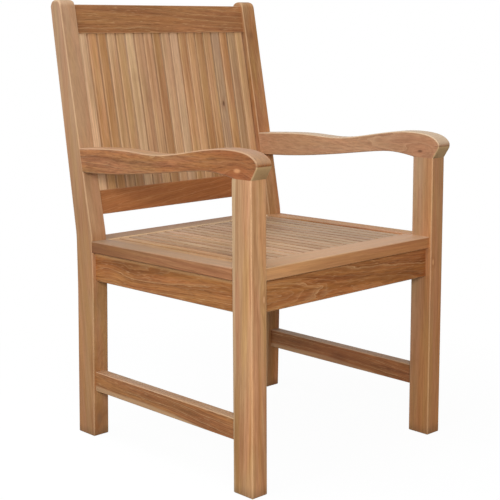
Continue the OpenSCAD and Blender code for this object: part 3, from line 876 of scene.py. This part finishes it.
# %% Outline of a rear post
POST_EASING = EASING["teak_post"]
TOP_ROUND = 15 * MM
TOP_SIDE_ROUND = 5 * MM
CLEAR_OF_MORTISES = 9.5 * MM
RAY_START = 1.0
SHANK_STEP = 0.04
BENDS = ((0.302, 0.340, 0.004), (0.35, 0.41, 0.03), (0.414, 0.451, 0.004))
BACK_START = 0.47
FOOT_RINGS = 4
DOME_RINGS = 10


def outline_at(node, height, sign):
    """Front and rear face of a rear post at this height, measured where no mortise opens."""
    low, high = BOXES[node]
    inner = min(abs(low.x), abs(high.x))
    x = sign * (inner + CLEAR_OF_MORTISES)
    front = TREES[node].ray_cast(Vector((x, low.y - RAY_START, height)), Vector((0, 1, 0)))[0]
    rear = TREES[node].ray_cast(Vector((x, high.y + RAY_START, height)), Vector((0, -1, 0)))[0]
    return front.y, rear.y


def round_inset(distance, radius):
    """How far a round-over of this radius stands back, at this distance from the end of the post."""
    distance = min(max(distance, 0), radius)
    return radius - math.sqrt(radius * radius - (radius - distance) ** 2)


def ring_heights(low, high):
    """Heights of the rings: fine on the foot, at both bends and on the dome."""
    quarter = math.pi / 2
    foot = [low + POST_EASING * (1 - math.cos(quarter * t / FOOT_RINGS)) for t in range(FOOT_RINGS + 1)]
    shank = list(np.arange(low + SHANK_STEP / 2, BENDS[0][0] - 2 * MM, SHANK_STEP))
    bends = [height for run in BENDS for height in np.arange(*run)]
    back = list(np.arange(BACK_START, high - TOP_ROUND - 5 * MM, SHANK_STEP))
    dome = [high - TOP_ROUND * (1 - math.sin(quarter * t / DOME_RINGS)) for t in range(DOME_RINGS + 1)]
    return foot + shank + bends + back + dome


def rounded_ring(x_range, y_range, radius, height):
    """Points of a rectangle with round corners, counter-clockwise from the front right corner."""
    points = []
    for corner, (x_side, y_side) in enumerate(((1, 0), (1, 1), (0, 1), (0, 0))):
        middle_x = x_range[x_side] + radius * (1 - 2 * x_side)
        middle_y = y_range[y_side] + radius * (1 - 2 * y_side)
        for step in range(ROUND_STEPS + 1):
            angle = math.radians(-90 + 90 * corner + 90 * step / ROUND_STEPS)
            points.append((middle_x + radius * math.cos(angle), middle_y + radius * math.sin(angle), height))
    return points


print("A rear post gets", len(ring_heights(0, BOXES["rear_post_left"][1].z)), "rings")

# %% [markdown]
# The rings are joined into a closed skin. Only the strips round the corners are marked for the painted edge
# highlight. Near the top the corners swell, and the sides draw in, until the last ring closes the dome.

# %% Rear posts
INSIDE_END = 0.05 * MM
SMALLEST_CORNER = 0.4 * MM
WIDEST_CORNER = 0.48


def rear_post(node):
    """A swept rear post with rounded edges that carry a painted highlight, and a domed top."""
    low, high = BOXES[node]
    sign = math.copysign(1, low.x)
    work = bmesh.new()
    mark = work.faces.layers.float.new("eased")
    rings = []
    for height in ring_heights(low.z, high.z):
        at = min(max(height, low.z + INSIDE_END), high.z - INSIDE_END)
        front, rear = outline_at(node, at, sign)
        foot = round_inset(height - low.z, POST_EASING)
        side = round_inset(high.z - height, TOP_SIDE_ROUND)
        x_range = (low.x + foot + side, high.x - foot - side)
        y_range = (front + foot, rear - foot)
        small = min(x_range[1] - x_range[0], y_range[1] - y_range[0])
        swell = max(height - high.z + TOP_ROUND, 0) / TOP_ROUND
        radius = min(max(POST_EASING * (1 + swell) - foot, SMALLEST_CORNER), WIDEST_CORNER * small)
        rings.append([work.verts.new(p) for p in rounded_ring(x_range, y_range, radius, height)])
    count = len(rings[0])
    for below, above in zip(rings, rings[1:]):
        for i in range(count):
            j = (i + 1) % count
            face = work.faces.new((below[i], below[j], above[j], above[i]))
            # The strips round the corners carry the painted edge highlight.
            face[mark] = 0 if i % (ROUND_STEPS + 1) == ROUND_STEPS else 1
    work.faces.new(reversed(rings[0]))
    work.faces.new(rings[-1])
    mesh = bpy.data.meshes.new(node)
    work.to_mesh(mesh)
    work.free()
    print(node, "has", len(rings), "rings and", len(mesh.polygons), "faces")
    return finish_piece(node + "_wood", mesh, [node], [BOARDS[node]])


for node in ("rear_post_left", "rear_post_right"):
    rear_post(node)

# %% [markdown]
# The back and the seat repeat one slat nineteen times, which is a job for Geometry Nodes. The sizes of a slat
# come from the solids of the frame, so that the row lies exactly where its mortises are. Seen along its
# grain, a slat has four levels: the end of its stub, its shoulder, and the same two at the other end.

# %% Measuring a slat
LEVEL_STEP = 0.1 * MM
END_MARGIN = 4 * MM


def levels_of(heights):
    """The different heights among these, rounded."""
    return sorted({round(v / LEVEL_STEP) * LEVEL_STEP for v in heights})


def measure_bar(node):
    """Axes, middle and sizes of a bar with a stub on each end, from its corners."""
    places = corners_of(frame["nodes"][node].data)
    across, over, along = board_axes(places)
    turned = places @ np.array((across, over, along)).T
    levels = levels_of(turned[:, 2])
    low, high = turned.min(0), turned.max(0)
    ends = turned[turned[:, 2] > levels[-1] - 2 * LEVEL_STEP]
    middle = Matrix((across, over, along)).transposed() @ Vector((low + high) / 2)
    shoulders = [v for v in levels if levels[0] + END_MARGIN < v < levels[-1] - END_MARGIN]
    return {"axes": (across, over, along), "middle": middle, "size": high - low,
            "body": shoulders[-1] - shoulders[0], "stub": ends.max(0) - ends.min(0)}


print("A back slat's body is", round(float(measure_bar("back_slat_01")["body"]) / MM, 1), "mm long")

# %% [markdown]
# Each row is a tree with its sizes as inputs. A rounded rectangle is swept into the slat, a thinner one into
# the stubs that enter the mortises, and both are joined into one solid. Instances of it stand on a line of
# points, each with its own number, and are then made real. The tree marks the narrow sides and the rounded
# edges, which get painted light on the back slats and painted shade in the gaps of the seat slats.

# %% A row as a tree
SLAT_ROUND_POINTS = 3
SQUARE_ON = 0.99
STUB_EASING_SHARE = 0.3
ROW_INPUTS = {"Count": "NodeSocketInt", "First": "NodeSocketVector", "Last": "NodeSocketVector",
              "Turn": "NodeSocketVector", "Material": "NodeSocketMaterial"}


def new_row_tree(name, sizes):
    """An empty Geometry Nodes tree with the inputs of a row and these sizes, its graph and its wires."""
    inputs = {**ROW_INPUTS, **{size: "NodeSocketFloat" for size in sizes}}
    tree = bpy.data.node_groups.new(name, "GeometryNodeTree")
    for label, kind in inputs.items():
        tree.interface.new_socket(label, in_out="INPUT", socket_type=kind)
    tree.interface.new_socket("Geometry", in_out="OUTPUT", socket_type="NodeSocketGeometry")
    graph = Graph(tree)
    source = graph.node("NodeGroupInput")
    return tree, graph, {label: Wire(graph, source.outputs[label]) for label in inputs}


def rounded_bar(g, width, thickness, length, radius):
    """A closed bar along Z with rounded long edges."""
    outline = g.wire("GeometryNodeCurvePrimitiveQuadrilateral", {"mode": "RECTANGLE"},
                     {"Width": width, "Height": thickness})
    fillet = {"Curve": outline, "Count": SLAT_ROUND_POINTS, "Radius": radius, "Limit Radius": True}
    rounded = g.wire("GeometryNodeFilletCurve", {"mode": "POLY"}, fillet)
    start = g.wire("ShaderNodeCombineXYZ", None, {"Z": length * -0.5})
    end = g.wire("ShaderNodeCombineXYZ", None, {"Z": length * 0.5})
    line = g.wire("GeometryNodeCurvePrimitiveLine", None, {"Start": start, "End": end})
    sockets = {"Curve": line, "Profile Curve": rounded, "Fill Caps": True}
    return g.wire("GeometryNodeCurveToMesh", None, sockets)


def marked_edges(g, bar, edge_light, side_light):
    """Painted light marked on the bar's rounded edges, which face along no axis, and on its narrow sides."""
    normal = g.vector("ABSOLUTE", g.wire("GeometryNodeInputNormal"))
    x, y, z = g.parts(normal)
    oblique = x.math("MAXIMUM", y).math("MAXIMUM", z).math("LESS_THAN", SQUARE_ON)
    light = oblique * edge_light + x.math("GREATER_THAN", SQUARE_ON) * side_light
    return g.wire("GeometryNodeStoreNamedAttribute", {"data_type": "FLOAT", "domain": "FACE"},
                  {"Geometry": bar, "Name": "eased", "Value": light})


def row_of(g, instance, wires):
    """Instances on a line of points, numbered, made real and given their material."""
    points = g.wire("GeometryNodeMeshLine", {"mode": "END_POINTS"},
                    {"Count": wires["Count"], "Start Location": wires["First"], "Offset": wires["Last"]})
    turn = g.wire("FunctionNodeEulerToRotation", None, {"Euler": wires["Turn"]})
    placed = g.wire("GeometryNodeInstanceOnPoints", None,
                    {"Points": points, "Instance": instance, "Rotation": turn})
    numbered = g.wire("GeometryNodeStoreNamedAttribute", {"data_type": "INT", "domain": "INSTANCE"},
                      {"Geometry": placed, "Name": "number", "Value": g.wire("GeometryNodeInputIndex")})
    real = g.wire("GeometryNodeRealizeInstances", None, {"Geometry": numbered})
    return g.wire("GeometryNodeSetMaterial", None, {"Geometry": real, "Material": wires["Material"]})


def slat_row_tree():
    """The tree that makes a row of slats."""
    tree, g, wires = new_row_tree("row of slats", (
        "Width", "Thickness", "Length", "Stub width", "Stub thickness", "Whole length",
        "Round-over", "Edge light", "Side light"))
    body = rounded_bar(g, wires["Width"], wires["Thickness"], wires["Length"], wires["Round-over"])
    core = rounded_bar(g, wires["Stub width"], wires["Stub thickness"], wires["Whole length"],
                       wires["Round-over"] * STUB_EASING_SHARE)
    slat = g.wire("GeometryNodeMeshBoolean", {"operation": "UNION", "solver": "EXACT"}, {1: [body, core]})
    marked = marked_edges(g, slat, wires["Edge light"], wires["Side light"])
    g.node("NodeGroupOutput", None, {"Geometry": row_of(g, marked, wires)})
    return tree


SLAT_ROW = slat_row_tree()
print("The slat tree has", len(SLAT_ROW.nodes), "nodes")

# %% [markdown]
# A tree runs as a modifier on an empty object, whose inputs are set by the identifier of each socket. Its
# result is kept as a plain mesh. The number of each instance comes with it, and tells which board a vertex
# belongs to, so that every slat gets its own grain and tone.

# %% Rows of slats
SLAT_EASING = 1.6 * MM
# Back slats get painted light on their edges and sides, and seat slats painted shade in their gaps.
EDGE_LIGHT = {"back_slat": (1.3, 1.2), "seat_slat": (-0.5, -0.9)}


def run_tree(name, tree, values):
    """Runs a tree on an empty object and returns its result as a plain mesh."""
    carrier = new_object(name, bpy.data.meshes.new(name))
    modifier = carrier.modifiers.new(name, "NODES")
    modifier.node_group = tree
    for item in tree.interface.items_tree:
        if item.in_out == "INPUT":
            modifier[item.identifier] = values[item.name]
    evaluated = carrier.evaluated_get(bpy.context.evaluated_depsgraph_get())
    mesh = bpy.data.meshes.new_from_object(evaluated)
    bpy.data.objects.remove(carrier)
    return mesh


def numbers_of(mesh):
    """Which instance each vertex belongs to."""
    found = np.zeros(len(mesh.vertices), np.int32)
    mesh.attributes["number"].data.foreach_get("value", found)
    return found


for row in EDGE_LIGHT:
    nodes = sorted(n for n in frame["nodes"] if n.startswith(row))
    first, last = measure_bar(nodes[0]), measure_bar(nodes[-1])
    turn = Matrix(first["axes"]).transposed().to_euler()
    mesh = run_tree(row + "s", SLAT_ROW, {
        "Count": len(nodes), "First": first["middle"], "Last": last["middle"], "Turn": turn,
        "Material": WOODS["teak_slat"],
        "Width": float(first["size"][0]), "Thickness": float(first["size"][1]),
        "Length": float(first["body"]),
        "Stub width": float(first["stub"][0]), "Stub thickness": float(first["stub"][1]),
        "Whole length": float(first["size"][2]), "Round-over": SLAT_EASING,
        "Edge light": EDGE_LIGHT[row][0], "Side light": EDGE_LIGHT[row][1]})
    finish_piece(row + "s_wood", mesh, nodes, [BOARDS[n] for n in nodes], numbers_of(mesh))
    print(row, "row:", len(nodes), "slats of", [round(float(v) / MM, 1) for v in first["size"]], "mm,",
          len(mesh.polygons), "faces")

# %% [markdown]
# A screw comes up through the batten into each seat slat. The screws repeat like the slats, so they come from
# the same kind of row: a shank and a countersunk head in one solid, with a cross cut into the head.

# %% Screws as a tree
SCREW_COUNT = sum(node.startswith("seat_slat") for node in frame["nodes"])
SCREW_SIZES = ("Length", "Shank", "Head", "Head height")
SCREW_SIDES = 24
RECESS_WIDTH = 0.16
RECESS_LENGTH = 0.62
RECESS_DEPTH = 1.3 * MM


def screw_row_tree():
    """The tree that makes a row of countersunk screws, head down."""
    tree, g, wires = new_row_tree("row of screws", SCREW_SIZES)
    bottom = g.wire("ShaderNodeCombineXYZ", None, {"Z": wires["Length"] * -0.5})
    shank = g.wire("GeometryNodeMeshCylinder", {"fill_type": "NGON"},
                   {"Vertices": SCREW_SIDES, "Radius": wires["Shank"] * 0.5, "Depth": wires["Length"]})
    cone = g.wire("GeometryNodeMeshCone", {"fill_type": "NGON"},
                  {"Vertices": SCREW_SIDES, "Radius Top": wires["Shank"] * 0.5,
                   "Radius Bottom": wires["Head"] * 0.5, "Depth": wires["Head height"]})
    head = g.wire("GeometryNodeTransform", None, {"Geometry": cone, "Translation": bottom})
    solid = g.wire("GeometryNodeMeshBoolean", {"operation": "UNION", "solver": "EXACT"}, {1: [shank, head]})
    long, wide = wires["Head"] * RECESS_LENGTH, wires["Head"] * RECESS_WIDTH
    cuts = []
    for x, y in ((long, wide), (wide, long)):
        size = g.wire("ShaderNodeCombineXYZ", None, {"X": x, "Y": y, "Z": RECESS_DEPTH * 2})
        cube = g.wire("GeometryNodeMeshCube", None, {"Size": size})
        cuts.append(g.wire("GeometryNodeTransform", None, {"Geometry": cube, "Translation": bottom}))
    screw = g.wire("GeometryNodeMeshBoolean", {"operation": "DIFFERENCE", "solver": "EXACT"},
                   {0: solid, 1: cuts})
    g.node("NodeGroupOutput", None, {"Geometry": row_of(g, screw, wires)})
    return tree


SCREW_ROW = screw_row_tree()
print("The screw tree has", len(SCREW_ROW.nodes), "nodes")

# %% [markdown]
# The steel of the screws is brushed: fine lines run round the axis in its roughness, and its shade is a
# little stained.

# %% Brushed steel
STEEL = (0.62, 0.60, 0.56, 1)
STAINED_STEEL = (0.42, 0.39, 0.35, 1)
STEEL_LINES = (900, 5200)
STEEL_STAINS = (260, 260)


def brushed_steel():
    """Stainless steel with fine turned lines."""
    material, g = new_material("screw_steel")
    place = g.wire("ShaderNodeTexCoord", None, None, "Object")
    lines = noise(g, place, *STEEL_LINES)
    stains = noise(g, place, *STEEL_STAINS)
    colour = g.mix(g.step(stains, 0.4, 0.75) * 0.35, STEEL, STAINED_STEEL)
    shader = g.wire("ShaderNodeBsdfPrincipled", None,
                    {"Base Color": colour, "Metallic": 1.0, "Roughness": 0.3 + (lines - 0.5) * 0.3})
    g.node("ShaderNodeOutputMaterial", None, {"Surface": shader})
    return material


SCREW_STEEL = brushed_steel()
print("The steel's stains have", STEEL_STAINS[0], "waves in a metre")

# %% [markdown]
# The solids of the screws are all one node, so they are told apart by their places in the row. The first one
# gives the sizes, and the first and the last give the ends of the row.

# %% Batten screws
def measure_screws(node, count):
    """Axes, sizes and the first and last middle of a row of screws along X, from their corners."""
    places = corners_of(frame["nodes"][node].data)
    share = (places[:, 0] - places[:, 0].min()) / np.ptp(places[:, 0])
    order = np.clip(np.floor(share * count), 0, count - 1)
    ends = [places[order == number] for number in (0, count - 1)]
    axes = board_axes(ends[0])
    middles, turned = [], ends[0] @ np.array(axes).T
    for end in ends:
        box = end @ np.array(axes).T
        middles.append(Matrix(axes).transposed() @ Vector((box.min(0) + box.max(0)) / 2))
    levels = levels_of(turned[:, 2])
    tip = turned[turned[:, 2] > levels[-1] - 2 * LEVEL_STEP]
    return {"axes": axes, "middles": middles, "Length": levels[-1] - levels[0],
            "Shank": float(np.ptp(tip[:, 0])), "Head": float(np.ptp(turned[:, 0])),
            "Head height": levels[1] - levels[0]}


screws = measure_screws("batten_screws", SCREW_COUNT)
mesh = run_tree("batten screws", SCREW_ROW, {
    "Count": SCREW_COUNT, "First": screws["middles"][0], "Last": screws["middles"][1],
    "Turn": Matrix(screws["axes"]).transposed().to_euler(), "Material": SCREW_STEEL,
    **{size: screws[size] for size in SCREW_SIZES}})
piece = new_object("batten_screws_steel", mesh)
tidy_normals(piece)
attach(piece, "root")
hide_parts("batten_screws")
print("Screws of", [round(screws[size] / MM, 1) for size in SCREW_SIZES], "mm,",
      len(mesh.polygons), "faces")

# %% [markdown]
# The chair stands on plain white. The floor is a wide disc that is pale near the chair, where it takes
# a soft shadow, and turns into plain white further out, so that no horizon shows. The world is white for the
# camera and for reflections, and a dimmer grey for the light that it casts.

# %% Floor and world
FLOOR_RADIUS = 12.0
FLOOR_SIDES = 96
SHADOW_CORE = 0.55
SHADOW_REACH = 1.1
SHADOW_FADE = 0.96
FLOOR_WHITE = 1.0
FLOOR_GREY = (0.36, 0.35, 0.34, 1)
WHITE = (1, 1, 1, 1)
WORLD_COLOUR = (1.0, 0.98, 0.96, 1)
WORLD_LIGHT = 0.28


def make_floor():
    """A round floor that fades to white away from the chair."""
    work = bmesh.new()
    bmesh.ops.create_circle(work, cap_ends=True, segments=FLOOR_SIDES, radius=FLOOR_RADIUS)
    mesh = bpy.data.meshes.new("floor")
    work.to_mesh(mesh)
    work.free()
    floor = new_object("floor", mesh)
    material, g = new_material("pale floor")
    place = g.wire("ShaderNodeTexCoord", None, None, "Object")
    away = g.step(g.vector("LENGTH", place), SHADOW_CORE, SHADOW_REACH)
    seen = g.wire("ShaderNodeLightPath", None, None, "Is Camera Ray")
    near = g.mix(seen, FLOOR_GREY, WHITE)
    matte = g.wire("ShaderNodeBsdfDiffuse", None, {"Color": near})
    white = g.wire("ShaderNodeEmission", None, {"Color": WHITE, "Strength": FLOOR_WHITE})
    faded = SHADOW_FADE + away * (1 - SHADOW_FADE)
    shader = g.wire("ShaderNodeMixShader", None, {0: seen * faded, 1: matte, 2: white})
    g.node("ShaderNodeOutputMaterial", None, {"Surface": shader})
    mesh.materials.append(material)
    return floor


def make_world(light):
    """White where it is seen or mirrored, and dimmer for the light it casts."""
    world = bpy.data.worlds.new("white studio")
    bpy.context.scene.world = world
    world.use_nodes = True
    world.node_tree.nodes.clear()
    g = Graph(world.node_tree)
    rays = g.node("ShaderNodeLightPath")
    seen = Wire(g, rays.outputs["Is Camera Ray"])
    for name in ("Is Glossy Ray", "Is Transmission Ray"):
        seen = seen.math("MAXIMUM", Wire(g, rays.outputs[name]))
    cast = g.wire("ShaderNodeBackground", None, {"Color": WORLD_COLOUR, "Strength": light})
    white = g.wire("ShaderNodeBackground", None, {"Color": WHITE, "Strength": 1.0})
    shader = g.wire("ShaderNodeMixShader", None, {0: seen, 1: cast, 2: white})
    g.node("ShaderNodeOutputWorld", None, {"Surface": shader})


make_floor()
make_world(WORLD_LIGHT)
print("The floor is", 2 * FLOOR_RADIUS, "m across, and the world gives", WORLD_LIGHT, "of full light")

# %% [markdown]
# The light is plain and soft. The main panel stands just behind the camera, so that it looks into the gaps
# between the slats and leaves them no shadow. A weaker one on the left makes the sides of the posts a little
# lighter than their fronts, and a wide one over the chair brightens the seat and the tops of the armrests.
# The last one stands behind the chair: it lights the back, and a little of it comes through between the
# slats.

# %% Lamps
def make_lamp(name, place, aim, size, power, colour=(1, 1, 1)):
    """A square panel that looks at a point."""
    data = bpy.data.lights.new(name, "AREA")
    data.size = size
    data.energy = power
    data.color = colour
    lamp = new_object(name, data)
    lamp.location = place
    lamp.rotation_euler = (Vector(aim) - Vector(place)).to_track_quat("-Z", "Y").to_euler()
    return lamp


make_lamp("key panel", (-2.07, -2.38, 1.42), aim=(0, 0, 0.6), size=0.9, power=66, colour=(1.0, 0.975, 0.92))
make_lamp("left panel", (-2.3, -0.4, 2.3), aim=(0, 0, 0.6), size=1.6, power=14, colour=(0.82, 0.93, 1.0))
make_lamp("overhead panel", (-0.9, 0.3, 2.8), aim=(0, 0, 0.4), size=2.0, power=46, colour=(0.84, 0.94, 1.0))
make_lamp("rear panel", (-0.8, 2.9, 1.3), aim=(0, 0, 0.5), size=1.6, power=24)
bpy.context.scene.view_settings.view_transform = "Standard"
print("Four panels and a white world light the chair")
